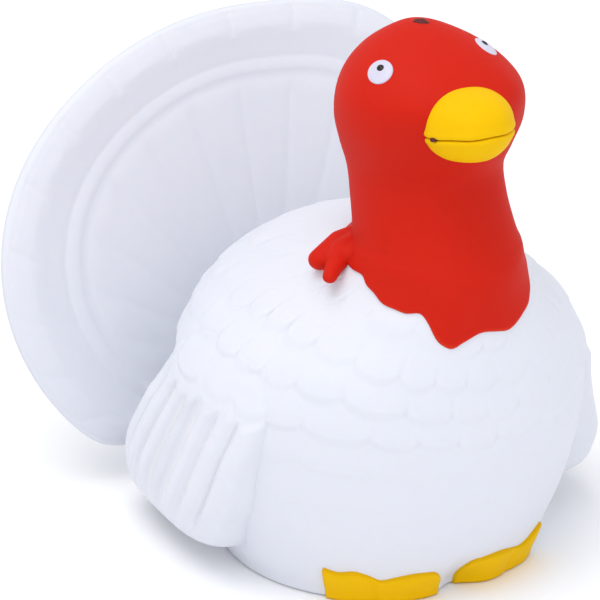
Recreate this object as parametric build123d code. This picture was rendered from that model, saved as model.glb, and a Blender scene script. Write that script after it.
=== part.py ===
from build123d import *
from math import cos, pi, radians, sin, sqrt
import os

# A hollow soft-vinyl squeeze bird. It faces -Y, its left is +X, +Z is up, and the origin is the
# centre of its flat round base, on the ground. Millimetres.

# Driving dimensions
HEIGHT = 130.0            # ground to the top of the crown nub
BASE_R = 37.0             # flat base
SKIN = 2.2                # soft-vinyl wall
GAP = 0.4                 # running gap between pieces that move apart

# Trunk: height, half width, foremost y, rearmost y of each level oval
TRUNK = [
    (0.0, BASE_R, -BASE_R, BASE_R),
    (7.0, 39.8, -39.8, 40.4),
    (18.0, 43.8, -44.2, 45.2),
    (31.5, 46.4, -47.6, 48.2),
    (45.0, 46.4, -49.0, 48.0),
    (56.5, 43.0, -48.4, 44.6),
    (65.5, 34.9, -47.0, 36.8),
    (72.5, 26.4, -46.0, 24.2),
    (77.0, 21.0, -45.2, 9.6),
    (79.2, 19.9, -45.0, -1.5),
]

# Neck: a bulb that sits in the trunk's top opening, and a tube above it
NECK_Y = -24.4            # bulb centre
NECK_Z = 84.0
BULB_R = 17.6
NECK_MID = (91.0, -21.4, 16.6)      # height, centre y, radius half way up
THROAT_Y = -19.4          # where the neck meets the head
THROAT_Z = 98.0
THROAT_R = 16.6
NECK_BORE = 9.0           # air way through the bulb's underside

# Hoop inside the neck opening
RING_Z = 73.4
RING_WALL = 1.6
RING_HIGH = 1.8

# Head: the same four values for each level oval
HEAD = [
    (THROAT_Z + GAP, 16.6, -36.0, -2.8),
    (103.8, 18.3, -37.4, -1.4),
    (109.7, 19.7, -39.8, -0.7),
    (115.5, 19.5, -41.0, -0.8),
    (119.8, 17.2, -38.4, -1.9),
    (123.5, 13.2, -33.2, -4.8),
    (126.5, 8.2, -27.2, -8.8),
    (HEIGHT - 1.0, 2.6, -19.6, -14.4),
]
MUZZLE_Y = -31.0          # the head is solid in front of this, round the beak's seat

# Beak: an egg shape parted at the mouth line
BEAK_C = Vector(0, -38.4, 113.2)
BEAK_SEMI = (9.6, 10.4, 7.8)
MOUTH_Z = 110.4
JAW_HINGE_Y = -37.0
JAW_OPEN = 12.0           # degrees
MOUTH_GAP = 0.15

# Bib
BIB_THICK = 1.0
BIB_R = 23.0
BIB_Y = -27.0             # centre of the round part
BIB_Z = 70.5
BIB_TOP = 79.2
BIB_LOBE_X = 8.2
BIB_LOBE_R = 7.4

# Eyes
EYE_C = Vector(11.9, -24.2, 119.5)
EYE_FACING = Vector(0.60, -0.19, 0.775).normalized()
EYE_LONG = (0.302, 0.953, 0.0)      # direction of the oval's long axis
EYE_SIZE = (6.4, 5.2)
EYE_SEAT = 2.2            # from the eye's centre out to the disc's back face
EYE_THICK = 1.8
PUPIL_D = 2.0
PUPIL_THICK = 0.4
PUPIL_OFF = 0.2           # pupil's shift towards the back and the top of the eye

# Crown nub
NUB_C = Vector(0, -17.0, HEIGHT - 1.0)
NUB_SEMI = (1.8, 2.0, 1.0)

# Tail fan: an oval plate that leans back, with its lower edge cut level
FAN_HALF_W = 67.8
FAN_HALF_H = 58.4
FAN_LEAN = 17.7           # degrees from upright
FAN_FOOT_Y = 55.4         # where the plate's mid plane crosses the height below
FAN_FOOT_Z = 33.8
FAN_CENTRE_S = 15.4       # oval's centre, up the slope from that point
FAN_CUT_S = -26.0         # level lower edge, down the slope
FAN_THICK = 3.0           # field of the plate
RIM_THICK = 6.4           # rolled rim
RIM_WIDTH = 9.0
RIM_ROUND = 2.4
TAIL_HINGE = Vector(0, 49.0, 20.0)
ROOT_R = 3.4
ROOT_HALF_W = 19.0
ROOT_WEB = 2.4            # thickness of the web from the trunk to the bar
BOSS_WALL = 3.0           # thickening of the plate round the bar
BOSS_OVER = 2.0           # how far it runs past each end of the bar
FAN_CLEAR = (12.0, 30.0)  # heights between which the plate is cut back to the hinge line

# Wings: a thick soft leaf on each flank
WING_C = Vector(40.5, 5.5, 27.5)
WING_SEMI = (12.6, 34.5, 22.0)
WING_TIP_C = Vector(38.5, 23.0, 15.5)
WING_TIP_SEMI = (12.0, 18.5, 10.5)

# Feet
TOE_TOP = 6.3
TOE_OUT = 1.3
TOE_ANGLES = (13.5, 29.0, 44.0)
TOE_RADII = (7.4, 6.6, 6.0)

# Caruncle: a lobe and its fingers, each an offset from the lobe's centre and a size
CARUNCLE_C = Vector(-18.4, -15.6, 78.6)
CARUNCLE_SEMI = (4.6, 4.2, 3.0)
CARUNCLE_FINGERS = [(-4.6, 1.6, -0.6, 2.1), (-3.6, 4.6, -1.8, 2.0), (-0.8, 6.0, -1.6, 1.8)]
CARUNCLE_GAP = 1.2        # clear of the nodding neck

# Squeaker, behind the base's centre
SQ_Y = 17.0
SQ_R = 11.0
SQ_WALL = 1.2
SQ_DEPTH = 13.0
SQ_FLOOR = 1.4
SQ_LIP = 1.0              # how far the snap lip stands out, and its height
LIP_PLAY = 0.05
LID_THICK = 1.0
LID_VENTS = 6
LID_VENT_R = 1.5
LID_VENT_CIRCLE = 6.0
VENT_R = 1.6

# Reed and its seat, measured from the base and from the squeaker's axis
SEAT_R = 3.6
SEAT_TOP = 2.4
SPINE_HALF_W = 1.7
SPINE_TOP = 9.6
SPINE_BACK = -3.4
SPINE_FACE = -1.9
KEY_HALF_W = 3.4
KEY_TOP = 4.4
KEY_BACK = -3.5
REED_HALF_W = 1.3
REED_BACK = -1.05
REED_FACE = -0.9
REED_FOOT = 4.2
REED_TOP = 11.2
CLIP_HALF_W = 2.6
CLIP_TOP = 4.1
CLIP_FACE = 0.3
CLIP_HOOK = 1.2           # width of the hook that bears on the seat
CLIP_HOOK_Z = 3.2


def oval(z, half_w, front, back, grow=0.0):
    """Level oval face between two y values, grown outwards all round."""
    place = Plane(origin=(0, (front + back) / 2, z), x_dir=(0, 1, 0), z_dir=(0, 0, 1))
    return place * Ellipse((back - front) / 2 + grow, half_w + grow)


def stacked(rows, grow=0.0, lift=0.0, drop=0.0):
    """Smooth solid through a stack of level ovals, grown, with its ends moved."""
    faces = []
    last = len(rows) - 1
    for i, (z, half_w, front, back) in enumerate(rows):
        level = z + (lift if i == 0 else 0.0) - (drop if i == last else 0.0)
        faces.append(oval(level, half_w, front, back, grow))
    return loft(faces)


def egg(centre, semi, grow=0.0):
    """Ellipsoid with the given half sizes."""
    sizes = tuple(s + grow for s in semi)
    return Pos(*centre) * scale(Sphere(1), by=sizes)


def mirrored(shape):
    """The same piece on the bird's other side."""
    return mirror(shape, about=Plane.YZ)


def block(low, high):
    """Box between two corners."""
    size = [b - a for a, b in zip(low, high)]
    centre = [(a + b) / 2 for a, b in zip(low, high)]
    return Pos(*centre) * Box(*size)


def rod(start, axis, radius, length):
    """Cylinder that starts at a point and runs along an axis."""
    return Plane(origin=tuple(start), z_dir=axis) * Cylinder(
        radius, length, align=(Align.CENTER, Align.CENTER, Align.MIN))


def about_x(shape, pivot, degrees):
    """Turn a shape about a cross axis through a pivot."""
    return shape.rotate(Axis(tuple(pivot), (1, 0, 0)), degrees)


# --- trunk -----------------------------------------------------------------
bulb_c = Vector(0, NECK_Y, NECK_Z)
squeak_c = Vector(0, SQ_Y, 0)
trunk_solid = stacked(TRUNK)


def make_body_skin():
    """Hollow trunk, open where the neck bulb sits and where the squeaker plugs in."""
    shell = trunk_solid - stacked(TRUNK, grow=-SKIN, lift=SKIN, drop=SKIN)
    shell -= Pos(*bulb_c) * Sphere(BULB_R + GAP)
    shell -= rod(squeak_c - Vector(0, 0, 1), (0, 0, 1), SQ_R, SKIN + 2)
    return shell.solids().sort_by(SortBy.VOLUME)[-1]


def make_neck_ring():
    """Hoop under the opening's lip that keeps it round."""
    inner = sqrt((BULB_R + GAP) ** 2 - (NECK_Z - RING_Z) ** 2) + 0.3
    place = Pos(0, NECK_Y, RING_Z)
    hoop = place * (Cylinder(inner + RING_WALL, RING_HIGH) - Cylinder(inner, RING_HIGH))
    hoop &= stacked(TRUNK, grow=-SKIN - 0.1, lift=SKIN, drop=SKIN)
    return hoop - Pos(*bulb_c) * Sphere(BULB_R + GAP)


def make_bib():
    """Thin red skin over the breast, two lobes at the front, open round the neck bulb."""
    region = block((-24, -60, BIB_Z), (24, 0, BIB_TOP)) & Pos(0, BIB_Y, 40) * Cylinder(BIB_R, 90)
    for side in (-1, 1):
        region += rod((side * BIB_LOBE_X, -30, BIB_Z), (0, -1, 0), BIB_LOBE_R, 40)
    patch = (region & stacked(TRUNK, grow=BIB_THICK)) - trunk_solid
    patch -= Pos(*bulb_c) * Sphere(BULB_R + GAP)
    return patch.solids().sort_by(SortBy.VOLUME)[-1]


bib = make_bib()


def make_wing():
    """Left wing: a soft leaf wrapped round the flank, tip low at the back."""
    wing = (egg(WING_C, WING_SEMI) + egg(WING_TIP_C, WING_TIP_SEMI)) - trunk_solid
    hollow = egg(WING_C, WING_SEMI, grow=-SKIN) + egg(WING_TIP_C, WING_TIP_SEMI, grow=-SKIN)
    wing -= hollow - stacked(TRUNK, grow=SKIN)
    return wing.solids().sort_by(SortBy.VOLUME)[-1]


def make_foot():
    """Left foot: three rounded toes lapped on the base's front edge."""
    toes = None
    for angle, radius in zip(TOE_ANGLES, TOE_RADII):
        outwards = (sin(radians(angle)), -cos(radians(angle)), 0)
        centre = Vector(*outwards) * (BASE_R - 6) + Vector(0, 0, TOE_TOP - radius)
        toe = rod(centre, outwards, radius, 16)
        toes = toe if toes is None else toes + toe
    foot = (toes - trunk_solid) & stacked(TRUNK, grow=TOE_OUT)
    return foot.solids().sort_by(SortBy.VOLUME)[-1]


def make_caruncle():
    """Red lobe with three fingers, lying on the right shoulder at the nape."""
    lobe = egg(CARUNCLE_C, CARUNCLE_SEMI)
    for dx, dy, dz, size in CARUNCLE_FINGERS:
        lobe += egg(CARUNCLE_C + Vector(dx, dy, dz), (size * 1.3, size * 1.5, size))
    lobe -= trunk_solid
    lobe -= bib
    lobe -= Pos(*bulb_c) * Sphere(BULB_R + CARUNCLE_GAP)
    lobe -= rod(bulb_c - Vector(0, 0, 8), (0, 0, 1), BULB_R + CARUNCLE_GAP, 60)
    return lobe.solids().sort_by(SortBy.VOLUME)[-1]


# --- neck and head ---------------------------------------------------------
def make_neck_skin():
    """Tube with a bulb at its foot, open at both ends so that air passes."""
    def tube(shrink):
        levels = [(NECK_Z, NECK_Y, BULB_R), NECK_MID, (THROAT_Z, THROAT_Y, THROAT_R)]
        faces = [Plane(origin=(0, y, z)) * Circle(r - shrink) for z, y, r in levels]
        return loft(faces)

    bulb = Pos(*bulb_c) * (Sphere(BULB_R) & Pos(0, 0, -20) * Box(60, 60, 40))
    hollow = Pos(*bulb_c) * (Sphere(BULB_R - SKIN) & Pos(0, 0, -20) * Box(60, 60, 40))
    skin = (bulb + tube(0)) - hollow - tube(SKIN)
    skin -= rod(bulb_c - Vector(0, 0, 30), (0, 0, 1), NECK_BORE, 25)
    return skin.solids().sort_by(SortBy.VOLUME)[-1]


jaw_pivot = Vector(0, JAW_HINGE_Y, MOUTH_Z)
beak_solid = egg(BEAK_C, BEAK_SEMI)
head_outer = stacked(HEAD)


def make_head_skin():
    """Hollow head, thick at the muzzle where the beak is seated, open into the neck."""
    room = block((-30, MUZZLE_Y, 90), (30, 10, HEIGHT))
    cavity = stacked(HEAD, grow=-SKIN, lift=-1.0, drop=SKIN) & room
    skin = head_outer - cavity - beak_solid
    lower = block((-20, -60, 90), (20, 0, MOUTH_Z))
    for turn in (0, JAW_OPEN / 2, JAW_OPEN):
        swept = egg(BEAK_C, BEAK_SEMI, grow=GAP) & lower
        skin -= about_x(swept, jaw_pivot, turn)
    for eye in (make_eye(), mirrored(make_eye())):
        skin -= eye
    return skin.solids().sort_by(SortBy.VOLUME)[-1]


def make_upper_beak():
    """Upper three quarters of the beak, seated in the muzzle."""
    return (beak_solid & block((-20, -60, MOUTH_Z), (20, 0, HEIGHT))).solids()[0]


def make_lower_beak():
    """Lower quarter of the beak, a hair below the mouth line, ending at its hinge."""
    return (beak_solid & block((-20, -60, 90), (20, JAW_HINGE_Y, MOUTH_Z - MOUTH_GAP))).solids()[0]


def eye_plane(out=0.0):
    """Plane on the head's side, facing out of the left eye."""
    return Plane(origin=tuple(EYE_C + EYE_FACING * out), x_dir=EYE_LONG, z_dir=tuple(EYE_FACING))


def make_eye():
    """Left eye: a shallow white oval disc let into the head."""
    return eye_plane(EYE_SEAT) * extrude(Ellipse(EYE_SIZE[0] / 2, EYE_SIZE[1] / 2), EYE_THICK)


def make_pupil():
    """Left pupil: a dark disc on the eye's face."""
    disc = extrude(Circle(PUPIL_D / 2), PUPIL_THICK)
    return eye_plane(EYE_SEAT + EYE_THICK) * Pos(PUPIL_OFF, PUPIL_OFF, 0) * disc


def make_nub():
    """Small dark nub on the crown, a little to the front."""
    return (egg(NUB_C, NUB_SEMI) - head_outer).solids()[0]


# --- tail ------------------------------------------------------------------
fan_origin = Vector(0, FAN_FOOT_Y, FAN_FOOT_Z)
fan_plane = Plane(
    origin=tuple(fan_origin), x_dir=(1, 0, 0),
    z_dir=(0, -cos(radians(FAN_LEAN)), sin(radians(FAN_LEAN))))


def fan_slab(inset, thick):
    """Oval slab with a level lower edge, centred on the fan's mid plane."""
    shape = Pos(0, FAN_CENTRE_S) * Ellipse(FAN_HALF_W - inset, FAN_HALF_H - inset)
    shape &= Pos(0, FAN_CUT_S + inset + 60) * Rectangle(200, 120)
    return fan_plane * (Pos(0, 0, -thick / 2) * extrude(shape, thick))


def make_tail_fan():
    """Plate with a rolled rim, a groove inside it, and a clear pocket round the root bar."""
    fan = fan_slab(0, RIM_THICK)
    rim = fan.edges().filter_by(lambda e: e.length > 60).group_by(SortBy.LENGTH)[-1]
    fan = fillet(rim, RIM_ROUND)
    for side in (-1, 1):
        offset = side * (FAN_THICK + RIM_THICK) / 2
        pocket = fan_slab(RIM_WIDTH, RIM_THICK)
        fan -= pocket.moved(Location(fan_plane.z_dir * offset))
    half = ROOT_HALF_W + BOSS_OVER
    fan += rod(TAIL_HINGE - Vector(half, 0, 0), (1, 0, 0), ROOT_R + BOSS_WALL, 2 * half)
    fan -= rod(TAIL_HINGE - Vector(half + 1, 0, 0), (1, 0, 0), ROOT_R + GAP, 2 * half + 2)
    fan -= block((-60, 0, FAN_CLEAR[0]), (60, TAIL_HINGE.Y - 0.2, FAN_CLEAR[1]))
    return fan.solids().sort_by(SortBy.VOLUME)[-1]


def make_tail_root():
    """Bar along the hinge line, joined to the trunk by a short web."""
    bar = rod(TAIL_HINGE - Vector(ROOT_HALF_W, 0, 0), (1, 0, 0), ROOT_R, 2 * ROOT_HALF_W)
    low = (-ROOT_HALF_W, 30, TAIL_HINGE.Z - ROOT_WEB / 2)
    web = block(low, (ROOT_HALF_W, TAIL_HINGE.Y, TAIL_HINGE.Z + ROOT_WEB / 2))
    return ((bar + web) - stacked(TRUNK, grow=0.02)).solids().sort_by(SortBy.VOLUME)[-1]


# --- squeaker --------------------------------------------------------------
def ring_at(z, outer, inner, height):
    """Upright tube on the squeaker's axis."""
    return Pos(0, SQ_Y, z + height / 2) * (Cylinder(outer, height) - Cylinder(inner, height))


def make_squeaker_cup():
    """Plug with a vented floor, a wall and a lip that snaps over the base skin."""
    cup = ring_at(0, SQ_R, SQ_R - SQ_WALL, SQ_DEPTH)
    floor = ring_at(0, SQ_R - SQ_WALL, VENT_R, SQ_FLOOR)
    lip = ring_at(SKIN + LIP_PLAY, SQ_R + SQ_LIP, SQ_R - 0.2, SQ_LIP)
    return cup + floor + lip


def at_reed(half_w, back, front, low, high):
    """Box across the squeaker's axis, between two faces and two heights."""
    return block((-half_w, SQ_Y + back, low), (half_w, SQ_Y + front, high))


def make_reed_seat():
    """Block over the vent with the upright face that the reed beats on."""
    seat = ring_at(SQ_FLOOR, SEAT_R, VENT_R, SEAT_TOP - SQ_FLOOR)
    seat += at_reed(KEY_HALF_W, KEY_BACK, SPINE_FACE, SEAT_TOP, KEY_TOP)
    return seat + at_reed(SPINE_HALF_W, SPINE_BACK, SPINE_FACE, SEAT_TOP, SPINE_TOP)


def make_reed():
    """Thin upright reed, free at its top."""
    return at_reed(REED_HALF_W, REED_BACK, REED_FACE, REED_FOOT, REED_TOP)


def make_reed_clip():
    """Clip that holds the reed's root against the seat."""
    clip = at_reed(CLIP_HALF_W, REED_FACE, CLIP_FACE, SEAT_TOP, CLIP_TOP)
    hook_low = (-CLIP_HALF_W, SQ_Y + SPINE_FACE, CLIP_HOOK_Z)
    return clip + block(hook_low, (CLIP_HOOK - CLIP_HALF_W, SQ_Y + REED_FACE, CLIP_TOP))


def make_grille():
    """Pierced lid of the cup, inside the bird."""
    lid = ring_at(SQ_DEPTH, SQ_R, VENT_R * 0.6, LID_THICK)
    for i in range(LID_VENTS):
        angle = 2 * pi * i / LID_VENTS
        across = LID_VENT_CIRCLE * cos(angle)
        along = SQ_Y + LID_VENT_CIRCLE * sin(angle)
        lid -= rod((across, along, SQ_DEPTH - 1), (0, 0, 1), LID_VENT_R, 4)
    return lid


os.makedirs("parts", exist_ok=True)
left_wing = make_wing()
left_eye = make_eye()
left_pupil = make_pupil()
left_foot = make_foot()
nodes = {
    "body_skin": make_body_skin(),
    "left_wing": left_wing,
    "right_wing": mirrored(left_wing),
    "bib": bib,
    "nape_caruncle": make_caruncle(),
    "neck_ring": make_neck_ring(),
    "neck_skin": make_neck_skin(),
    "head_skin": make_head_skin(),
    "crown_nub": make_nub(),
    "upper_beak": make_upper_beak(),
    "lower_beak": make_lower_beak(),
    "left_eye": left_eye,
    "right_eye": mirrored(left_eye),
    "left_pupil": left_pupil,
    "right_pupil": mirrored(left_pupil),
    "left_foot": left_foot,
    "right_foot": mirrored(left_foot),
    "tail_root": make_tail_root(),
    "tail_fan": make_tail_fan(),
    "squeaker_cup": make_squeaker_cup(),
    "reed_seat": make_reed_seat(),
    "squeaker_reed": make_reed(),
    "reed_clip": make_reed_clip(),
    "squeaker_grille": make_grille(),
}
for name, shape in nodes.items():
    export_step(shape, f"parts/{name}.step")
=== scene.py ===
from math import radians

import bmesh
import bpy
import numpy as np
from mathutils import Matrix, Vector


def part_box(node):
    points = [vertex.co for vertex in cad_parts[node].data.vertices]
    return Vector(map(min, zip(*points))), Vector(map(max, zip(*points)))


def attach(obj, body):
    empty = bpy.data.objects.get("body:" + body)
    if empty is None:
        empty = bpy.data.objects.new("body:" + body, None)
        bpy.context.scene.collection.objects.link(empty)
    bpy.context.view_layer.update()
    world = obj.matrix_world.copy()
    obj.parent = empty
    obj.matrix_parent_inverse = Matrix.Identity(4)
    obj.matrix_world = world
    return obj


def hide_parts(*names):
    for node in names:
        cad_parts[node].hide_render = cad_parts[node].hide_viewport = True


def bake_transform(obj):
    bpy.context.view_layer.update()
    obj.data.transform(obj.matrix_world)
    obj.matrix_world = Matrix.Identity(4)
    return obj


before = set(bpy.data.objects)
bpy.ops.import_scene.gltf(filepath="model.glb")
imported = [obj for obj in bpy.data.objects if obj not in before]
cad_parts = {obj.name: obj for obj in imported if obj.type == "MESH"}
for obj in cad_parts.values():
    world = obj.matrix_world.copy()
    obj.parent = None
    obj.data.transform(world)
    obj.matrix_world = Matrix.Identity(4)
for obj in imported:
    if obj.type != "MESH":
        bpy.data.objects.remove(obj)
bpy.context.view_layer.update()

MM = 0.001
RNG = np.random.default_rng(7)
X_AXIS = np.array([1.0, 0.0, 0.0])

# The bird faces -Y and its left is +X. Angles round the body ("turn") are in degrees from the
# front, positive towards its left. Lengths in this file are in millimetres until a mesh is made.


def box_mm(node):
    """Lowest and highest corner of a CAD node, in millimetres."""
    low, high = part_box(node)
    return np.array(low) / MM, np.array(high) / MM


# ---------------------------------------------------------------- curves and noise
def curve(xs, ys, x):
    """Smooth curve through the points (xs, ys), read at x."""
    xs, ys = np.asarray(xs, float), np.asarray(ys, float)
    step = np.diff(xs)
    slope = np.diff(ys) / step
    m = np.empty_like(ys)
    m[0], m[-1] = slope[0], slope[-1]
    m[1:-1] = (slope[:-1] * step[1:] + slope[1:] * step[:-1]) / (step[:-1] + step[1:])
    i = np.clip(np.searchsorted(xs, x) - 1, 0, len(xs) - 2)
    t = np.clip((x - xs[i]) / step[i], 0, 1)
    rise = ys[i] * (1 + 2 * t) * (1 - t) ** 2 + ys[i + 1] * t * t * (3 - 2 * t)
    return rise + step[i] * t * (1 - t) * (m[i] * (1 - t) - m[i + 1] * t)


def ease(x, low, high):
    """0 below low, 1 above high, smooth between."""
    t = np.clip((x - low) / (high - low), 0, 1)
    return t * t * (3 - 2 * t)


def bump(x, centre, width):
    """Smooth hill of height 1."""
    return np.exp(-(((x - centre) / width) ** 2))


def from_middle(place):
    """How far each place is from the middle of its unit cell: 0 in the middle, 1 at the sides."""
    return np.abs(place - np.floor(place) - 0.5) * 2


def quarter_round(share):
    """Height of a quarter circle from 0 at share 0 to 1 at share 1 and past it."""
    return np.sqrt(1 - (1 - np.clip(share, 0, 1)) ** 2)


WAVES = 9                 # sine waves added up in each random swell


def lumps(points, size, seed):
    """Soft random swell between -1 and 1, about one hill per size."""
    rng = np.random.default_rng(seed)
    total = np.zeros(points.shape[:-1])
    for _ in range(WAVES):
        way = rng.normal(size=3)
        way *= rng.uniform(0.6, 1.5) / (np.linalg.norm(way) * size)
        total += np.sin(points @ way * np.pi + rng.uniform(0, 2 * np.pi))
    return total / (WAVES / 2)


# ---------------------------------------------------------------- meshes
def make_object(name, verts, faces, material):
    """Smooth mesh object in metres from millimetre vertices."""
    mesh = bpy.data.meshes.new(name)
    verts = np.asarray(verts, float) * MM
    mesh.from_pydata(verts.tolist(), [], [list(f) for f in faces])
    mesh.validate()
    mesh.polygons.foreach_set("use_smooth", [True] * len(mesh.polygons))
    obj = bpy.data.objects.new(name, mesh)
    bpy.context.scene.collection.objects.link(obj)
    mesh.materials.append(material)
    return obj


def grid_faces(around, along):
    """Quads over closed rings of around points, along rings in a row."""
    i = np.arange(around)[:, None]
    j = np.arange(along - 1)[None, :]
    a = i * along + j
    b = ((i + 1) % around) * along + j
    return np.stack([a, b, b + 1, a + 1], -1).reshape(-1, 4).tolist()


def tube_object(name, points, material, cap_first=True, cap_last=True):
    """Skin through rings of points (around, along, 3); a capped end is closed by a fan of triangles."""
    around, along = points.shape[:2]
    verts = points.reshape(-1, 3).tolist()
    faces = grid_faces(around, along)
    for closed, j, flip in ((cap_first, 0, False), (cap_last, along - 1, True)):
        if closed:
            centre = len(verts)
            verts.append(points[:, j].mean(0).tolist())
            for i in range(around):
                k = (i + 1) % around
                tri = (k * along + j, i * along + j, centre)
                faces.append(tri[::-1] if flip else tri)
    obj = make_object(name, verts, faces, material)
    crease = np.zeros(len(verts))
    crease[:around * along] = creases(points).ravel()
    layer = obj.data.attributes.new("crease", "FLOAT", "POINT")
    layer.data.foreach_set("value", crease)
    return obj


CREASE_REACH = 2          # grid steps over which a hollow or a ridge is felt
CREASE_LIMIT = 0.5        # strongest hollow or ridge that is told apart
SHORTEST_SPAN = 0.05      # points closer than this say nothing about the shape


def creases(points):
    """How hollow (above 0) or ridged (below 0) a grid of points is, within half a millimetre or so."""
    reach = CREASE_REACH
    edge = np.pad(points, ((0, 0), (reach, reach), (0, 0)), mode="edge")
    sides = [np.roll(points, reach, 0), np.roll(points, -reach, 0)]
    sides += [edge[:, :-2 * reach], edge[:, 2 * reach:]]
    pull = sum(sides) / 4 - points
    span = sum(np.linalg.norm(side - points, axis=-1) for side in sides) / 4
    hollow = (pull * grid_normals(points)).sum(-1) / np.maximum(span, 1e-6)
    hollow[:, :reach] = 0
    hollow[:, -reach:] = 0
    return np.where(span > SHORTEST_SPAN, np.clip(hollow, -CREASE_LIMIT, CREASE_LIMIT), 0)


def grid_normals(points):
    """Unit normals of a row of closed rings of points."""
    du = np.roll(points, -1, 0) - np.roll(points, 1, 0)
    dv = np.gradient(points, axis=1)
    n = np.cross(du, dv)
    return n / np.maximum(np.linalg.norm(n, axis=-1, keepdims=True), 1e-9)


BALL_FLATTEN = 0.85       # height of a ball of a melted lump, as a share of its width
SOFTEN_FACTOR = 0.6
SOFTEN_ROUNDS = 14


def melted(name, balls, grain, material):
    """One soft lump melted together from overlapping balls (x, y, z, radius)."""
    mesh = bmesh.new()
    for x, y, z, radius in balls:
        place = Matrix.Translation((x * MM, y * MM, z * MM)) @ Matrix.Diagonal((1, 1, BALL_FLATTEN, 1))
        bmesh.ops.create_icosphere(mesh, subdivisions=3, radius=radius * MM, matrix=place)
    data = bpy.data.meshes.new(name)
    mesh.to_mesh(data)
    mesh.free()
    lump = bpy.data.objects.new(name, data)
    bpy.context.scene.collection.objects.link(lump)
    melt = lump.modifiers.new("melt", "REMESH")
    melt.mode = "VOXEL"
    melt.voxel_size = grain * MM
    soften = lump.modifiers.new("soften", "SMOOTH")
    soften.factor = SOFTEN_FACTOR
    soften.iterations = SOFTEN_ROUNDS
    shaped = bpy.data.meshes.new_from_object(lump.evaluated_get(bpy.context.evaluated_depsgraph_get()))
    lump.modifiers.clear()
    lump.data = shaped
    shaped.materials.clear()
    shaped.materials.append(material)
    shaped.polygons.foreach_set("use_smooth", [True] * len(shaped.polygons))
    return lump


def bead_line(ends, step=0.5):
    """Balls strung along a list of (x, y, z, radius) points."""
    ends = np.array(ends, float)
    balls = []
    for a, b in zip(ends[:-1], ends[1:]):
        count = max(2, int(np.linalg.norm(b[:3] - a[:3]) / step))
        balls += [tuple(a + (b - a) * k / count) for k in range(count + 1)]
    return balls


# ---------------------------------------------------------------- materials
# Noise patterns of the vinyl: repeats per metre, detail, roughness.
CLOUD = (38.0, 5.0, 0.62)
SPECK = (420.0, 3.0, 0.55)
PORES = (1500.0, 4.0, 0.6)
SPECK_SHARE = 0.4         # of the mottling, next to the cloud's
RIDGE = (-0.04, -0.28)    # crease values where the lighter ridge colour, for wear and a painted highlight, starts and is full
HOLLOW = (0.03, 0.25)     # the same for the darker hollow colour, painted shade with some dust
# How strongly and how dark the hollows are painted: painted shade, with some dust.
SHADE_AND_DUST_SHARE = 0.8
SHADE_AND_DUST_TONE = 0.88
GLOSS_SPREAD = (-0.07, 0.09)
PORE_DEPTH = 0.02
SWELL_DEPTH = 0.22
SKIN_GLOW = 0.12          # weight of the light scattered under the surface
GLOW_COLOUR = (1.0, 0.6, 0.45)
GLOW_DEPTH = 1.6


def node_material(name):
    """New material with its shader, a helper that adds nodes and one that links them."""
    material = bpy.data.materials.new(name)
    material.use_nodes = True
    tree = material.node_tree

    def add(kind, **values):
        node = tree.nodes.new(kind)
        for key, value in values.items():
            if key in node.inputs.keys():
                node.inputs[key].default_value = value
            else:
                setattr(node, key, value)
        return node

    return material, tree.nodes["Principled BSDF"], add, tree.links.new


def soft_vinyl(name, colour, shade, wear_and_highlight, rough=0.5, shine=0.3):
    """Moulded or painted soft vinyl: mottled colour, lighter ridges for wear and a painted highlight,
    hollows darkened with painted shade and dust, and a fine grain.
    """
    material, shader, add, link = node_material(name)
    where = add("ShaderNodeTexCoord")

    def noise(pattern):
        scale, detail, roughness = pattern
        node = add("ShaderNodeTexNoise", Scale=scale, Detail=detail, Roughness=roughness)
        link(where.outputs["Object"], node.inputs["Vector"])
        return node.outputs["Fac"]

    def ranged(source, start, full, low=0.0, high=1.0):
        node = add("ShaderNodeMapRange")
        for key, value in (("From Min", start), ("From Max", full), ("To Min", low), ("To Max", high)):
            node.inputs[key].default_value = value
        link(source, node.inputs["Value"])
        return node.outputs["Result"]

    def painted(under, over, share):
        """Colour over laid on the colour or socket under, as strongly as share."""
        node = add("ShaderNodeMix", data_type="RGBA")
        if isinstance(under, tuple):
            node.inputs[6].default_value = (*under, 1)
        else:
            link(under, node.inputs[6])
        node.inputs[7].default_value = (*over, 1)
        link(share, node.inputs["Factor"])
        return node.outputs[2]

    def bumped(height, strength, depth, normal=None):
        node = add("ShaderNodeBump", Strength=strength, Distance=depth * MM)
        link(height, node.inputs["Height"])
        if normal:
            link(normal, node.inputs["Normal"])
        return node.outputs["Normal"]

    cloud, speck, pores = noise(CLOUD), noise(SPECK), noise(PORES)
    mottle = add("ShaderNodeMix", data_type="FLOAT")
    mottle.inputs["Factor"].default_value = SPECK_SHARE
    link(cloud, mottle.inputs[2])
    link(speck, mottle.inputs[3])
    crease = add("ShaderNodeAttribute", attribute_name="crease").outputs["Fac"]
    # The darker hollow colour is painted shade, with some dust.
    shade_and_dust = tuple(c * SHADE_AND_DUST_TONE for c in shade)
    tint = painted(shade, colour, mottle.outputs[0])
    # Ridges are lightened: wear and a painted highlight.
    tint = painted(tint, wear_and_highlight, ranged(crease, *RIDGE))
    tint = painted(tint, shade_and_dust, ranged(crease, *HOLLOW, high=SHADE_AND_DUST_SHARE))
    link(tint, shader.inputs["Base Color"])
    gloss = ranged(cloud, 0.0, 1.0, rough + GLOSS_SPREAD[0], rough + GLOSS_SPREAD[1])
    link(gloss, shader.inputs["Roughness"])
    grain = bumped(pores, 0.5, PORE_DEPTH)
    link(bumped(cloud, 0.6, SWELL_DEPTH, grain), shader.inputs["Normal"])
    shader.inputs["Subsurface Weight"].default_value = SKIN_GLOW
    shader.inputs["Subsurface Radius"].default_value = GLOW_COLOUR
    shader.inputs["Subsurface Scale"].default_value = GLOW_DEPTH * MM
    shader.inputs["Specular IOR Level"].default_value = shine
    return material
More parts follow.
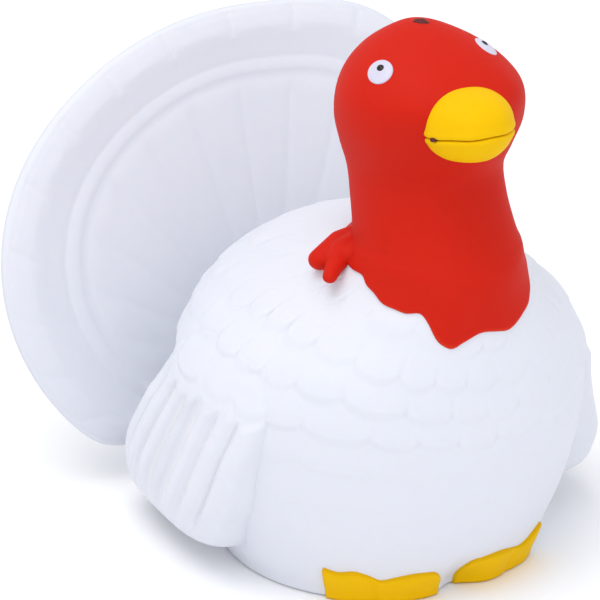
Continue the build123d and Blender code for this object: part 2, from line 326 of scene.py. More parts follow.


# Each material: main colour, its darker shade for the random mottling, and the lighter colour of its
# ridges, which stands for wear and a painted highlight.
WHITE = soft_vinyl("white_vinyl", (0.745, 0.755, 0.81), (0.68, 0.71, 0.785), (0.80, 0.795, 0.825))
RED = soft_vinyl(
    "red_vinyl", (0.60, 0.014, 0.003), (0.53, 0.010, 0.002), (0.64, 0.03, 0.008), rough=0.62, shine=0.13)
YELLOW = soft_vinyl(
    "yellow_vinyl", (0.84, 0.52, 0.0), (0.78, 0.43, 0.0), (0.88, 0.58, 0.002), rough=0.6, shine=0.08)
EYE_WHITE = soft_vinyl("eye_white", (0.66, 0.64, 0.74), (0.56, 0.55, 0.68), (0.76, 0.74, 0.80), rough=0.4)
PUPIL = soft_vinyl(
    "pupil_black", (0.020, 0.012, 0.012), (0.010, 0.006, 0.006), (0.05, 0.03, 0.03), rough=0.3)
MAROON = soft_vinyl("maroon_paint", (0.12, 0.012, 0.010), (0.07, 0.006, 0.006), (0.20, 0.02, 0.02))
INNER = soft_vinyl("inner_plastic", (0.74, 0.74, 0.70), (0.66, 0.66, 0.63), (0.80, 0.80, 0.78))
BRASS = soft_vinyl("reed_brass", (0.75, 0.55, 0.24), (0.66, 0.46, 0.18), (0.85, 0.66, 0.34), rough=0.3)
BRASS.node_tree.nodes["Principled BSDF"].inputs["Metallic"].default_value = 1.0


# ---------------------------------------------------------------- the bird's skin
# Level ovals from the base up to the crown: height, half width, foremost y, rearmost y.
# Trunk rows are shares of the body's CAD box; neck and head rows are in millimetres.
body_low, body_high = box_mm("body_skin")
TRUNK = [
    (0.000, 0.779, 0.746, 0.753),
    (0.006, 0.794, 0.760, 0.768),
    (0.032, 0.807, 0.771, 0.783),
    (0.088, 0.850, 0.812, 0.833),
    (0.227, 0.935, 0.902, 0.932),
    (0.398, 0.991, 0.971, 0.994),
    (0.568, 0.991, 1.000, 0.990),
    (0.713, 0.892, 0.988, 0.915),
    (0.827, 0.700, 0.959, 0.752),
    (0.915, 0.528, 0.939, 0.490),
    (0.972, 0.446, 0.922, 0.200),
]
NECK = [
    (79.4, 19.3, -44.4, 1.0),
    (81.1, 18.3, -43.3, -4.2),
    (84.0, 17.0, -41.3, -5.7),
    (90.7, 16.3, -37.6, -4.3),
    (98.0, 16.6, -35.4, -2.8),
]
HEAD = [
    (103.8, 18.3, -37.2, -1.4),
    (109.7, 19.7, -39.8, -0.7),
    (115.5, 19.3, -41.0, -0.8),
    (119.8, 16.9, -38.3, -1.9),
    (123.5, 12.9, -33.0, -4.8),
    (126.5, 7.8, -26.8, -9.0),
    (128.2, 3.6, -21.8, -12.6),
    (128.8, 0.01, -17.01, -17.0),
]
half_width = (body_high[0] - body_low[0]) / 2
ROWS = np.array(
    [(z * body_high[2], w * half_width, f * body_low[1], b * body_high[1]) for z, w, f, b in TRUNK]
    + NECK + HEAD)
ROW_INDEX = np.arange(len(ROWS))
THROAT_ROW = len(TRUNK) + len(NECK) - 1
CROWN_ROW = len(ROWS) - 1


SWELL_TOP = 13            # height where the trunk is an oval again


def base_swell(turn, z):
    """How far the foot of the trunk leaves its ovals: it swells at the feet and dips between them."""
    feet = 0.7 * bump(turn, 35, 13) + 0.8 * bump(turn, -65, 40)
    dip = 3.4 * bump(turn, 1, 8)
    return (feet - dip) * (1 - ease(z, 1, SWELL_TOP))


def skin(turn, row):
    """Point of the smooth skin at a turn (degrees) and a row number."""
    z, half, front, back = (curve(ROW_INDEX, ROWS[:, k], row) for k in range(4))
    angle = np.radians(turn)
    swell = base_swell(turn, z)
    x = (half + swell) * np.sin(angle)
    y = (front + back) / 2 - ((back - front) / 2 + swell) * np.cos(angle)
    return np.stack([x, y, z], -1)


TURN_STEP = 0.5           # degrees either way, to find which way the skin faces
ROW_STEP = 0.01           # rows either way


def skin_normal(turn, row):
    """Outward unit normal of the smooth skin."""
    row = np.minimum(row, CROWN_ROW - 2 * ROW_STEP)
    across = skin(turn + TURN_STEP, row) - skin(turn - TURN_STEP, row)
    up = skin(turn, row + ROW_STEP) - skin(turn, row - ROW_STEP)
    n = np.cross(across, up)
    return n / np.maximum(np.linalg.norm(n, axis=-1, keepdims=True), 1e-9)


# Scalloped rows down the trunk: height of the edge in front, how far it climbs at the sides,
# feather width (degrees), scallop height, how proud it stands, shift of the row.
FEATHER_ROWS = [
    (63.5, 7.5, 15.5, 2.0, 0.40, 0.12),
    (55.3, 7.6, 12.6, 2.2, 0.55, 0.55),
    (48.2, 7.5, 13.4, 2.0, 0.50, 0.05),
    (42.2, 4.5, 14.0, 1.9, 0.55, 0.60),
    (34.5, 3.0, 15.0, 1.6, 0.20, 0.20),
    (25.8, 2.0, 16.0, 1.4, 0.12, 0.70),
]


TOP_FEATHER = 8           # length of the feathers above the highest edge
FEATHER_KINDS = 3         # random draws per feather: edge height, softness and height
FEATHERS = 64             # feathers in a row before its draws repeat
FEATHER_DICE = RNG.uniform(-1, 1, (FEATHER_KINDS, 8, FEATHERS))
MM_PER_DEGREE = 0.75      # along the trunk's widest level
SEAM_WIDTH = 1.6
FAINT_BREAST = 0.45       # share of the relief that is missing at the middle of the breast


def edge_height(row, turn):
    """Height of a feather row's edge before its scallops: it climbs to the sides and sinks behind."""
    base, climb = row[:2]
    side = np.clip(np.abs(turn), 0, 130)
    rise = climb * np.sin(np.radians(np.minimum(side, 90))) ** 1.3
    return base + rise - climb * 0.8 * ease(side, 95, 170)


def dice(kind, row, place):
    """The same random number between -1 and 1 for all of one feather, blended at its sides."""
    low = np.floor(place).astype(int)
    across = ease(place - low, 0.35, 0.65)
    table = FEATHER_DICE[kind, row]
    return table[low % FEATHERS] * (1 - across) + table[(low + 1) % FEATHERS] * across


def trunk_relief(turn, z):
    """How far the scalloped feathers stand out of the smooth trunk."""
    high = np.zeros_like(z)
    top = edge_height(FEATHER_ROWS[0], turn) + TOP_FEATHER
    for k, row in enumerate(FEATHER_ROWS):
        wide, scallop, depth, shift = row[2:]
        place = turn / wide + shift + 0.25 * np.sin(np.radians(turn * 5 + 90 * shift))
        near = from_middle(place)
        edge_draw, soft_draw, proud_draw = (dice(kind, k, place - 0.5) for kind in range(FEATHER_KINDS))
        line = edge_height(row, turn) + scallop * near ** 2.4 + 0.75 * edge_draw
        soft = 1.15 + 0.35 * soft_draw
        rise = ease(z, line - soft, line + soft)
        fade = 1 - ease(z, line + 1.0, top + 1.5)
        seam = np.exp(-((1 - near) * wide * MM_PER_DEGREE / SEAM_WIDTH) ** 2)
        proud = depth * (1 + 0.35 * proud_draw)
        high += proud * rise * fade * (1 - 0.45 * seam)
        top = line
    high *= 1 - FAINT_BREAST * bump(turn, 5, 38)
    high *= 1 - ease(z, bib_edge(turn) - 3.0, bib_edge(turn) + 0.5)
    return high * ease(z, 6, 18)


# Lower edge of the painted red skin: turn, height. It dips in two lobes on the breast.
BIB_EDGE = [
    (-180, 80.6), (-120, 79.8), (-92, 78.6), (-80, 77.9), (-72, 77.5), (-63, 75.9), (-56, 74.8),
    (-47, 73.2), (-39, 72.4), (-32, 72.6), (-27, 70.8), (-18, 66.6), (-14, 65.6), (-9.5, 66.8), (-4, 68.1),
    (5, 67.4), (11, 67.1), (18, 68.1), (24, 69.4), (31, 70.4), (38, 71.6), (46, 73.6), (60, 76.0),
    (90, 78.8), (120, 79.8), (180, 80.6),
]


def bib_edge(turn):
    """Height of the red skin's lower edge, with a hand-painted waver."""
    waver = 0.18 * np.sin(np.radians(turn * 9 + 40)) + 0.12 * np.sin(np.radians(turn * 23 + 10))
    return curve(*np.array(BIB_EDGE).T, turn) + waver * (1 - ease(np.abs(turn), 60, 90))


BODY_TOP_ROW = 11.2       # the white trunk ends under the neck's red skin
HOLE_R = 11.0             # opening in the base round the squeaker
LIP_HEIGHTS = np.array([4.0, 2.0, 0.8])


def make_body():
    """White trunk with scalloped feather rows, closed at the base round the squeaker."""
    turn = np.linspace(-180, 180, 640, endpoint=False)
    row = np.concatenate([np.linspace(0, 3, 26)[:-1], np.linspace(3, BODY_TOP_ROW, 300)])
    t, r = np.meshgrid(turn, row, indexing="ij")
    points = skin(t, r)
    high = trunk_relief(t, points[..., 2])
    high += 0.22 * lumps(points, 19, 3) * ease(points[..., 2], 4, 18)
    points = points + skin_normal(t, r) * high[..., None]

    cup_low, cup_high = box_mm("squeaker_cup")
    hole_y = (cup_low[1] + cup_high[1]) / 2
    angle = np.radians(turn)
    hole = np.stack([HOLE_R * np.sin(angle), hole_y - HOLE_R * np.cos(angle), 0 * angle], -1)
    rim = points[:, 0]
    inside = np.linspace(0, 1, 14)[:-1]
    floor = np.stack([hole + (rim - hole) * f for f in inside], 1)
    lip = hole[:, None] + np.array([0, 0, 1.0]) * LIP_HEIGHTS[:, None]
    points = np.concatenate([lip, floor, points], 1)
    return tube_object("body_skin_shell", points, WHITE, cap_first=False)


body = make_body()
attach(body, "body")
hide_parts("body_skin")


# ---------------------------------------------------------------- red neck, bib and head
def row_at_height(z):
    """Row number whose level is at a height, on the trunk and neck."""
    rows = np.linspace(0, THROAT_ROW, 1200)
    return np.interp(z, curve(ROW_INDEX, ROWS[:, 0], rows), rows)


SKIN_OUT = 0.6            # how far the red skin stands on the white one
HEAD_OUT = 0.4            # how far it stands on the smooth rows at the throat and head
EDGE_ROUND = 1.1          # width of the red skin's rounded lower edge
TUCK = 1.2                # how deep that edge reaches into the white skin
RED_TURNS = 480           # points round the neck and the head, the same for both
FULL_SIDE = 0.45          # the bird's left side of neck and head is a little fuller


def fuller_side(turn):
    """Extra thickness on the left side of the neck and the head."""
    return FULL_SIDE * bump(turn, 70, 38)


def make_neck():
    """Red skin from the bib's wavy edge up to the throat."""
    turn = np.linspace(-180, 180, RED_TURNS, endpoint=False)
    start = row_at_height(bib_edge(turn))
    share = np.linspace(0, 1, 130)
    t = np.repeat(turn[:, None], len(share), 1)
    r = start[:, None] + (THROAT_ROW - start[:, None]) * share[None] ** 1.1
    points = skin(t, r)
    normals = skin_normal(t, r)
    reach = np.linalg.norm(np.diff(points, axis=1), axis=-1).cumsum(1)
    reach = np.concatenate([np.zeros((len(turn), 1)), reach], 1)
    z = points[..., 2]
    high = trunk_relief(t, z) + SKIN_OUT * quarter_round(reach / EDGE_ROUND)
    high = high * (1 - ease(z, 86, 97)) + HEAD_OUT * ease(z, 86, 97)
    high += fuller_side(t) * ease(z, 78, 84)
    high += 0.15 * lumps(points, 14, 5) * ease(reach, 1, 6) * (1 - ease(z, 92, 97))
    points = points + normals * high[..., None]
    tuck = points[:, :1] - normals[:, :1] * TUCK
    points = np.concatenate([tuck, points], 1)
    return tube_object("neck_and_bib_skin", points, RED, cap_first=False, cap_last=False)


def make_head():
    """Red head from the throat to the crown, with soft brows and cheeks."""
    turn = np.linspace(-180, 180, RED_TURNS, endpoint=False)
    row = np.linspace(THROAT_ROW, CROWN_ROW, 240)
    t, r = np.meshgrid(turn, row, indexing="ij")
    points = skin(t, r)
    z = points[..., 2]
    side = np.abs(t)
    brow = 0.5 * bump(side, 36, 16) * bump(z, 118.5, 4.5)
    cheek = 0.3 * bump(side, 62, 18) * bump(z, 108, 5)
    swell = 0.12 * lumps(points, 11, 11)
    high = HEAD_OUT + ease(z, 98.2, 103) * (brow + cheek + swell)
    high += fuller_side(t) * (1 - ease(z, 117, 124))
    points = points + skin_normal(t, r) * high[..., None]
    return tube_object("head_skin_soft", points, RED, cap_first=False)


neck = make_neck()
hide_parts("neck_skin", "bib")
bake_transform(neck)

head = make_head()
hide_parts("head_skin")
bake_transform(head)


# ---------------------------------------------------------------- beak
beak_low, beak_high = box_mm("upper_beak")
jaw_low = box_mm("lower_beak")[0]
BEAK_C = np.array([0, (beak_low[1] + beak_high[1]) / 2, (beak_high[2] + jaw_low[2]) / 2])
BEAK_SEMI = np.array([9.9, 10.2, (beak_high[2] - jaw_low[2]) / 2])
UPPER_BACK, LOWER_BACK = -30.5, -36.9        # y where each half ends inside the head
MOUTH_Z = beak_low[2]
MOUTH_GAP = 0.07          # half the gap of the mouth line
LIP_ROUND = 0.5
CHIN_RISE = 1.7           # the lower half ends this much above the CAD jaw
FACE_TURN = radians(-3.2)      # the face looks a little to the bird's right
FACE_AXIS = np.array([0, -19.0, 0])


def face_turned(points):
    """Points turned with the face about the head's upright axis."""
    cosine, sine = np.cos(FACE_TURN), np.sin(FACE_TURN)
    spin = np.array([[cosine, -sine, 0], [sine, cosine, 0], [0, 0, 1]])
    return (points - FACE_AXIS) @ spin.T + FACE_AXIS


def make_bill(name, end_z, sign, full, back):
    """Half of the soft egg-shaped bill, from the mouth line to one end."""
    angle = np.radians(np.linspace(-180, 180, 240, endpoint=False))[:, None]
    rest = np.sin(np.linspace(0, 1, 80)[None] * np.pi / 2)
    arch = 1.7 * np.cos(angle) + 1.3 + 0.10 * np.sin(7 * angle + 1)
    start = MOUTH_Z + sign * MOUTH_GAP + arch
    level = start + (end_z - start) * rest
    span = np.clip(1 - np.abs((level - BEAK_C[2]) / BEAK_SEMI[2]) ** full, 0, 1) ** (1 / full)
    reach = np.abs(level - start)
    out = span + 0.02 * bump(reach, 0.9, 0.7) - 0.045 * (1 - quarter_round(reach / LIP_ROUND))
    x = BEAK_SEMI[0] * out * np.sin(angle)
    y = BEAK_C[1] - BEAK_SEMI[1] * out * np.cos(angle)
    points = np.stack([x, y, level], -1)
    points += 0.07 * lumps(points, 4.5, 21)[..., None] * (points - BEAK_C) / BEAK_SEMI[0]
    points[..., 1] = np.minimum(points[..., 1], back)
    return tube_object(name, face_turned(points[::sign]), YELLOW)


upper_bill = make_bill("upper_bill", beak_high[2], 1, 2.25, UPPER_BACK)
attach(upper_bill, "head")
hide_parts("upper_beak")

# A drop of dark paint on the mouth line, near its right corner.
MARK_TURN = radians(-72)
MARK_RISE = 1.9           # above the CAD mouth line
MARK_STEP = np.array([-0.12, 0.35, -0.1])
MARK_R = 0.6
mark_at = BEAK_C + BEAK_SEMI * [np.sin(MARK_TURN), -np.cos(MARK_TURN), 0]
mark_at[2] = MOUTH_Z + MARK_RISE
mark_balls = [(*face_turned(mark_at + k * MARK_STEP), MARK_R) for k in (-1, 0, 1)]
mark = melted("mouth_corner_mark", mark_balls, 0.12, MAROON)
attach(mark, "head")

lower_bill = make_bill("lower_bill", jaw_low[2] + CHIN_RISE, -1, 2.1, LOWER_BACK)
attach(lower_bill, "jaw")
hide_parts("lower_beak")


# ---------------------------------------------------------------- eyes
# Each eye: turn, height, tilt of the oval's long axis in degrees. They are not quite level.
EYES = {"left": (63.5, 123.8, 0.0), "right": (-72.5, 122.2, 28.0)}
EYE_HALF = (3.45, 2.85)
EYE_OUT, EYE_HIGH = 0.25, 0.75
PUPIL_HALF = (1.05, 0.85)
PUPIL_OUT, PUPIL_HIGH = 0.78, 0.45
PUPIL_SHIFT = (0.1, 0.6)  # from the eye's centre, along it and up
EYE_LEVEL = (0.302, 0.953)     # x and y of the left eye's level axis
TUCKED_FROM = 0.94        # the outermost share of a dome turns down into the head
TUCK_DEPTH = 1.2


def dome(name, centre, facing, along, semi, out, high, material):
    """Low oval dome standing on the head."""
    across = np.cross(facing, along)
    ring = np.radians(np.linspace(0, 360, 96, endpoint=False))[:, None]
    fall = np.linspace(0, 1, 24)[None]
    wide = np.sin(fall * np.pi / 2)
    tuck = TUCK_DEPTH * np.clip(fall - TUCKED_FROM, 0, 1) / (1 - TUCKED_FROM)
    u = semi[0] * wide * np.cos(ring)
    v = semi[1] * wide * np.sin(ring)
    w = out + high * np.cos(fall * np.pi / 2) - tuck + 0 * ring
    points = centre + u[..., None] * along + v[..., None] * across + w[..., None] * facing
    return tube_object(name, points, material)


def make_eye(side, name):
    """White oval eye and its dark pupil, on one side of the head."""
    turn, height, tilt = EYES[name]
    rows = np.linspace(THROAT_ROW, CROWN_ROW, 900)
    row = np.interp(height, curve(ROW_INDEX, ROWS[:, 0], rows), rows)
    centre = skin(turn, row)
    facing = skin_normal(turn, row)
    level = np.array([side * EYE_LEVEL[0], EYE_LEVEL[1], 0.0])
    level -= facing * (level @ facing)
    level /= np.linalg.norm(level)
    rising = np.cross(facing, level)
    rising *= np.sign(rising[2])
    along = level * np.cos(radians(tilt)) + rising * np.sin(radians(tilt))
    white = dome(f"{name}_eye_white", centre, facing, along, EYE_HALF, EYE_OUT, EYE_HIGH, EYE_WHITE)
    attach(white, "head")
    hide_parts(f"{name}_eye")
    spot = centre + PUPIL_SHIFT[0] * level + PUPIL_SHIFT[1] * rising
    pupil = dome(f"{name}_eye_pupil", spot, facing, along, PUPIL_HALF, PUPIL_OUT, PUPIL_HIGH, PUPIL)
    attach(pupil, "head")
    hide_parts(f"{name}_pupil")


make_eye(1, "left")
make_eye(-1, "right")


# ---------------------------------------------------------------- tail fan
# The fan lies in a plane that leans back. A point of it has an x and an s, which runs up the plane
# from FAN_ORIGIN; its outline and its profile are measured from the oval's centre at s = FAN_S0.
FAN_LEAN = radians(17.7)
fan_low, fan_high = box_mm("tail_fan")
FAN_A = (fan_high[0] - fan_low[0]) / 2
FAN_B = 58.4
FAN_S0 = 15.4
FAN_CUT = -26.8           # s of the flat lower edge
FAN_CORNER = 26           # how sharply the oval turns into the lower edge
FAN_ORIGIN = np.array([0, 55.4, 33.8])
FAN_UP = np.array([0, np.sin(FAN_LEAN), np.cos(FAN_LEAN)])
FAN_OUT = np.array([0, -np.cos(FAN_LEAN), np.sin(FAN_LEAN)])
RAY_FOOT = -16.0          # s where the feather lines would meet
RAY_DEGREES = 11.5        # from one feather line to the next
RAY_WIDTH = 1.1
FAN_MIDDLE = 0.985        # depth of the innermost ring

# Half thickness of the fan from its edge (0) to its middle (1): the rolled rim, a slope with a
# groove on each side of a low ridge, and the flat field.
RIM_PROFILE = [
    (0.0, 0.0), (0.010, 1.20), (0.032, 1.95), (0.065, 2.50), (0.10, 2.85), (0.125, 2.80),
    (0.17, 2.40), (0.215, 2.02), (0.232, 1.86), (0.250, 2.04), (0.280, 2.12), (0.298, 1.90),
    (0.310, 1.86), (0.335, 2.00), (0.42, 2.06), (1.0, 2.12),
]


def fan_reach(angle):
    """Distance from the fan's centre to its outline, a little uneven, with rounded lower corners."""
    oval = 1 / np.sqrt((np.cos(angle) / FAN_A) ** 2 + (np.sin(angle) / FAN_B) ** 2)
    turn = np.degrees(angle) % 360
    oval = oval + 3.9 * bump(turn, 52, 19) + 0.4 * bump(turn, 220, 20) - 1.5 * bump(turn, 130, 32)
    down = np.maximum(-np.sin(angle), 1e-6)
    flat = np.minimum((FAN_S0 - FAN_CUT) / down, 400)
    return (oval ** -FAN_CORNER + flat ** -FAN_CORNER) ** (-1 / FAN_CORNER)


def make_fan():
    """Oval fan: rolled rim, two grooves and shallow feather lines on both faces."""
    angle = np.radians(np.linspace(-90, 270, 720, endpoint=False))[:, None]
    rim = np.linspace(0, 0.03, 10)
    slope = np.linspace(0.03, 0.36, 84)
    field = np.linspace(0.36, FAN_MIDDLE, 46)
    depth = np.concatenate([rim[:-1], slope[:-1], field])
    reach = fan_reach(angle)
    f = 1 - depth[None]
    x = f * reach * np.cos(angle)
    s = FAN_S0 + f * reach * np.sin(angle)
    high = curve(*np.array(RIM_PROFILE).T, depth)[None] + 0 * x
    near = from_middle(np.degrees(np.arctan2(x, s - RAY_FOOT)) / RAY_DEGREES)
    spread = np.hypot(x, s - RAY_FOOT)
    seam = np.exp(-((1 - near) * np.radians(RAY_DEGREES) / 2 * spread / RAY_WIDTH) ** 2)
    on_rim = ease(depth[None], 0.0, 0.03) * (1 - ease(depth[None], 0.10, 0.135))
    on_field = ease(depth[None], 0.32, 0.38) * ease(spread, 22, 40)
    on_slope = bump(depth[None], 0.185, 0.035)
    crown = 0.12 * (1 - near ** 2) * on_rim
    upper = 0.35 + 0.65 * ease(s, 5, 35)
    cut = seam * (0.20 * on_rim + 0.16 * on_field + 0.10 * on_slope) * upper
    plume = 0.14 * on_field * (1 - near ** 2)
    place = FAN_ORIGIN + x[..., None] * X_AXIS + s[..., None] * FAN_UP
    front = place + (high + crown - cut + plume)[..., None] * FAN_OUT
    back_high = high * 0.98 + 0.6 * crown - 0.7 * cut + 0.7 * plume
    back = place - back_high[..., None] * FAN_OUT
    front += 0.12 * lumps(place, 22, 8)[..., None] * FAN_OUT
    points = np.concatenate([front[:, ::-1], back[:, 1:]], 1)
    return tube_object("tail_fan_shell", points, WHITE)


fan = make_fan()
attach(fan, "tail")
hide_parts("tail_fan")


ROOT_HALF = 23.0          # half width of the fold
ROOT_START = 36.0         # y where it starts inside the trunk
ROOT_WAIST = 0.22         # share that it narrows halfway
ROOT_SINK = 0.4           # its end lies this far in front of the fan's middle plane


def make_root():
    """Thick rubber fold between the back and the fan."""
    ring = np.radians(np.linspace(0, 360, 120, endpoint=False))[:, None]
    share = np.linspace(0, 1, 40)[None]
    hinge_low, hinge_high = box_mm("tail_root")
    middle_z = (hinge_low[2] + hinge_high[2]) / 2
    flare = 1 - ROOT_WAIST * np.sin(share * np.pi)
    x = ROOT_HALF * flare * np.cos(ring)
    z = middle_z + (8.5 + 3.0 * share) * flare * np.sin(ring)
    y_fan = FAN_ORIGIN[1] + (z - FAN_ORIGIN[2]) * np.tan(FAN_LEAN) - ROOT_SINK
    y = ROOT_START + (y_fan - ROOT_START) * share
    points = np.stack([x, y, z], -1)
    return tube_object("tail_root_fold", points, WHITE)


root = make_root()
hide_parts("tail_root")
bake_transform(root)


# ---------------------------------------------------------------- wings
# Each wing is a stack of level outlines: height, front y, back y, outermost x.
WING = [
    (6.5, -4.0, 29.0, 46.0),
    (7.4, -7.5, 34.8, 49.0),
    (10.6, -10.6, 38.2, 51.0),
    (16.0, -13.2, 37.4, 51.6),
    (22.0, -17.0, 35.5, 51.4),
    (30.0, -20.0, 30.5, 50.4),
    (38.0, -22.5, 25.5, 49.0),
    (45.0, -24.0, 20.5, 47.6),
    (51.0, -24.5, 15.0, 46.0),
    (56.0, -22.0, 9.0, 43.0),
    (60.0, -14.0, 2.0, 39.0),
]
WING_INNER = 27.0         # x of the wing's inner face
PRIMARIES = 7             # long flight feathers
COVERTS = 4.5             # scallops of the covert feathers' edge
COVERT_EDGE = 43.5        # height of that edge
WING_FOOT = 7.3           # the feathers' relief starts here and is full at WING_FULL
WING_FULL = 20
WING_SINK = 1.6           # the shoulder's inner side lies this deep in the trunk


def trunk_side(y, z):
    """Half width of the smooth trunk at a level and a y."""
    rows = row_at_height(z)
    half, front, back = (curve(ROW_INDEX, ROWS[:, k], rows) for k in (1, 2, 3))
    share = (y - (front + back) / 2) / ((back - front) / 2)
    return half * np.sqrt(np.clip(1 - share ** 2, 0.02, 1))


def wing_relief(along, sine, x, y, z):
    """How far the wing's feathers stand out: long quills below, soft coverts above."""
    cell = along * PRIMARIES
    near = from_middle(cell)
    quill = 0.55 * (1 - near ** 2) + 0.45 * (1 - cell + np.floor(cell))
    quill -= 0.55 * np.exp(-((1 - near) * 3.0) ** 2)
    quill += 0.5 * bump(along, 0.07, 0.07)
    line = COVERT_EDGE + 2.6 * from_middle(along * COVERTS) ** 2.2 - 1.5 * along
    covert = ease(z, line - 1.5, line + 1.5)
    turn = np.degrees(np.arctan2(x, -(y + 0.5)))
    scales = 0.45 * (1 - ease(z, 44, 52)) + trunk_relief(turn, z) * 0.8
    outer = ease(sine, 0.12, 0.5)
    return outer * ((1 - covert) * quill * ease(z, WING_FOOT, WING_FULL) + covert * scales)


def make_wing(side, name):
    """Drooping wing: soft covert scallops above long swept flight feathers."""
    level = np.linspace(0, len(WING) - 1, 260)[None]
    z, front, back, out = (curve(np.arange(len(WING)), column, level) for column in np.array(WING).T)
    if side > 0:
        front = front - 5.0 * bump(z, 11.5, 6) - 3.8 * bump(z, 20, 8)
        out = out + 1.1 * bump(z, 16, 9) - 1.2 * bump(z, 38, 8)
    ring = np.radians(np.linspace(0, 360, 440, endpoint=False))[:, None]
    cosine, sine = np.cos(ring), np.sin(ring)
    bulge = np.abs(sine)
    z = z + 0 * ring
    y = (front + back) / 2 - (back - front) / 2 * np.sign(cosine) * np.abs(cosine) ** 0.7
    panel = (out + WING_INNER) / 2 + (out - WING_INNER) / 2 * np.sign(sine) * bulge ** 0.62
    proud = np.where(sine > 0, (2.9 - ease(z, 44, 58)) * bulge ** 0.5, -6 * bulge)
    hug = trunk_side(y, z) - WING_SINK + proud
    free = 1 - ease(z, 33, 50)
    x = panel * free + hug * (1 - free)
    points = np.stack([x, y, z], -1)
    normals = -grid_normals(points)
    normals *= np.sign((normals[..., 0] * sine + 1e-6).sum())
    high = wing_relief((y - front) / (back - front), sine, x, y, z) + 0.18 * lumps(points, 15, 31)
    points = points + normals * high[..., None]
    if side < 0:
        points[..., 0] *= -1
    else:
        points = points[::-1]
    wing = tube_object(f"{name}_wing_shell", points, WHITE)
    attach(wing, "body")
    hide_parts(f"{name}_wing")


for wing_side, wing_name in ((1, "left"), (-1, "right")):
    make_wing(wing_side, wing_name)


# ---------------------------------------------------------------- feet
# Top edge of each foot: turn, height.
FOOT_TOPS = {
    "left": [
        (1, 3.5), (3, 6.6), (8, 8.2), (15, 8.5), (21, 7.4), (26, 6.6), (31, 7.6), (34.5, 8.7), (38, 9.2)],
    "right": [
        (6.8, 4.6), (9, 6.8), (14, 7.9), (19, 7.8), (24, 7.0), (28, 6.4), (32, 7.9), (36, 8.9),
        (42, 8.3), (47, 9.4)],
}
FOOT_OUT = 0.85           # how far the feet stand out of the trunk
FOOT_ROUND = 1.1          # width of their rounded top edge
FOOT_SINK = 1.2           # how deep they reach into the trunk


def make_foot(side, name):
    """Webbed foot: a low shelf of toes moulded on the front of the base."""
    edge_turn, edge_top = np.array(FOOT_TOPS[name]).T
    first, last = edge_turn[0], edge_turn[-1]
    turn = np.linspace(first, last, 170)
    top = curve(edge_turn, edge_top, turn)
    square = quarter_round(np.minimum((turn - first) / 1.6, (last - turn) / 1.2))
    down = np.linspace(0, 1, 46)[None]
    z = (top * square ** 0.35)[:, None] * (1 - down)
    t = np.repeat(side * turn[:, None], down.shape[1], 1)
    r = row_at_height(z)
    toes = 0.30 * bump(turn, first + 14, 5) + 0.30 * bump(turn, last - 6.5, 4)
    groove = 0.35 * bump(turn, last - 16.5, 1.6)
    out = (FOOT_OUT + toes - groove)[:, None] * quarter_round((top[:, None] - z) / FOOT_ROUND)
    out = out * square[:, None] - 0.5 * (1 - square[:, None])
    normals = skin_normal(t, r)
    outer = skin(t, r) + normals * out[..., None]
    inner = skin(t, r) - normals * FOOT_SINK
    outer[..., 2] = np.maximum(outer[..., 2], 0.0)
    inner[..., 2] = np.maximum(inner[..., 2], 0.0)
    loops = np.concatenate([outer, inner[:, ::-1]], 1).transpose(1, 0, 2)[::-side]
    foot = tube_object(f"{name}_foot_toes", loops, YELLOW)
    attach(foot, "body")
    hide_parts(f"{name}_foot")


make_foot(1, "left")
make_foot(-1, "right")


# ---------------------------------------------------------------- caruncle and nub
# Lines of balls: a thick outer lobe, the palm, the finger that hangs forward, and the palm's front.
CARUNCLE = (
    bead_line([
        (-14.5, -13.5, 81.0, 2.6), (-17.5, -13.6, 80.2, 3.0), (-21.2, -14.8, 78.7, 3.0),
        (-23.4, -15.2, 77.8, 2.8)])
    + bead_line([(-15.0, -16.5, 81.0, 2.9), (-19.0, -17.6, 79.9, 3.2), (-21.3, -19.0, 78.9, 2.7)])
    + bead_line([(-20.0, -18.8, 79.3, 2.5), (-23.2, -20.8, 77.9, 2.0), (-25.0, -22.4, 76.8, 1.7)])
    + bead_line([(-15.5, -20.0, 80.6, 2.8), (-18.5, -19.6, 79.9, 2.7)])
)
caruncle = melted("nape_caruncle_lobes", CARUNCLE, 0.28, RED)
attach(caruncle, "body")
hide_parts("nape_caruncle")

NUB = [
    (0, -17.0, 128.6, 1.5), (-0.6, -16.3, 128.7, 1.2), (0.5, -17.8, 128.5, 1.2), (0.3, -16.7, 129.0, 0.9)]
nub = melted("crown_nub_blob", NUB, 0.2, MAROON)
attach(nub, "head")
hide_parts("crown_nub")

# ---------------------------------------------------------------- inner pieces keep their CAD shape
CARRIED = {
    "squeaker_cup": INNER, "squeaker_grille": INNER, "reed_seat": INNER, "reed_clip": INNER,
    "neck_ring": INNER, "squeaker_reed": BRASS,
}
for node_name, node_look in CARRIED.items():
    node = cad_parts[node_name]
    node.data.materials.clear()
    node.data.materials.append(node_look)


# ---------------------------------------------------------------- stage, light and camera
FLOOR_HALF = 3.0          # all stage measures are in metres
FLOOR_FRONT, FLOOR_BACK = -3.0, 1.2
CURVE_R = 0.9
CURVE_STEPS = 12
BACKDROP_TOP = 3.5
FLOOR_GAP = 0.0002        # the floor lies this far below the base


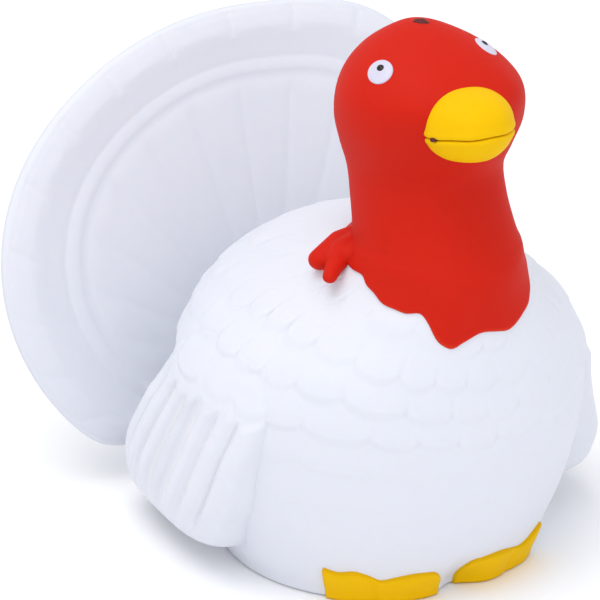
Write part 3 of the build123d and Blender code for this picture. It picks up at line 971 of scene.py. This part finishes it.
def make_stage():
    """Pale floor that curves up into a backdrop well behind the bird."""
    profile = [(FLOOR_FRONT, 0.0), (FLOOR_BACK, 0.0)]
    for k in range(1, CURVE_STEPS + 1):
        angle = radians(90 * k / CURVE_STEPS)
        profile.append((FLOOR_BACK + CURVE_R * np.sin(angle), CURVE_R * (1 - np.cos(angle))))
    profile.append((FLOOR_BACK + CURVE_R, BACKDROP_TOP))
    verts = [(x, y, z - FLOOR_GAP) for y, z in profile for x in (-FLOOR_HALF, FLOOR_HALF)]
    faces = [(2 * i, 2 * i + 1, 2 * i + 3, 2 * i + 2) for i in range(len(profile) - 1)]
    mesh = bpy.data.meshes.new("floor")
    mesh.from_pydata(verts, [], faces)
    mesh.polygons.foreach_set("use_smooth", [True] * len(mesh.polygons))
    floor = bpy.data.objects.new("floor", mesh)
    bpy.context.scene.collection.objects.link(floor)
    material, shader = node_material("pale_floor")[:2]
    shader.inputs["Base Color"].default_value = (0.93, 0.93, 0.94, 1)
    shader.inputs["Roughness"].default_value = 0.9
    mesh.materials.append(material)


def area_light(name, place, target, size, power, colour=(1, 1, 1)):
    """Soft square light that faces a target."""
    data = bpy.data.lights.new(name, "AREA")
    data.size, data.energy, data.color = size, power, colour
    light = bpy.data.objects.new(name, data)
    light.location = place
    light.rotation_euler = (Vector(target) - Vector(place)).to_track_quat("-Z", "Y").to_euler()
    bpy.context.scene.collection.objects.link(light)


make_stage()
TARGET = (0, 0.01, 0.06)
area_light("key", (-0.60, -0.45, 1.35), TARGET, 1.1, 5.0, (1.0, 0.975, 0.96))
area_light("fill", (0.25, -1.15, 0.42), TARGET, 1.2, 1.9, (0.97, 0.985, 1.0))
area_light("top", (-0.35, 0.10, 1.45), TARGET, 1.0, 6.6, (1.0, 0.975, 0.965))

world = bpy.data.worlds.new("studio")
world.use_nodes = True
background = world.node_tree.nodes["Background"]
background.inputs["Color"].default_value = (0.95, 0.97, 1.0, 1)
background.inputs["Strength"].default_value = 0.84
bpy.context.scene.world = world

# The camera looks down a little on the bird's right front.
AZIMUTH, ELEVATION = radians(-28.0), radians(24.4)
DISTANCE = 0.675
AIM = Vector((-0.0200, 0.0007, 0.0610))
toward = Vector((
    np.sin(AZIMUTH) * np.cos(ELEVATION), -np.cos(AZIMUTH) * np.cos(ELEVATION), np.sin(ELEVATION)))
lens = bpy.data.cameras.new("camera")
lens.lens, lens.sensor_width = 180.0, 36.0
camera = bpy.data.objects.new("camera", lens)
camera.location = AIM + toward * DISTANCE
camera.rotation_euler = (-toward).to_track_quat("-Z", "Y").to_euler()
bpy.context.scene.collection.objects.link(camera)
bpy.context.scene.camera = camera
bpy.context.scene.view_settings.view_transform = "Standard"
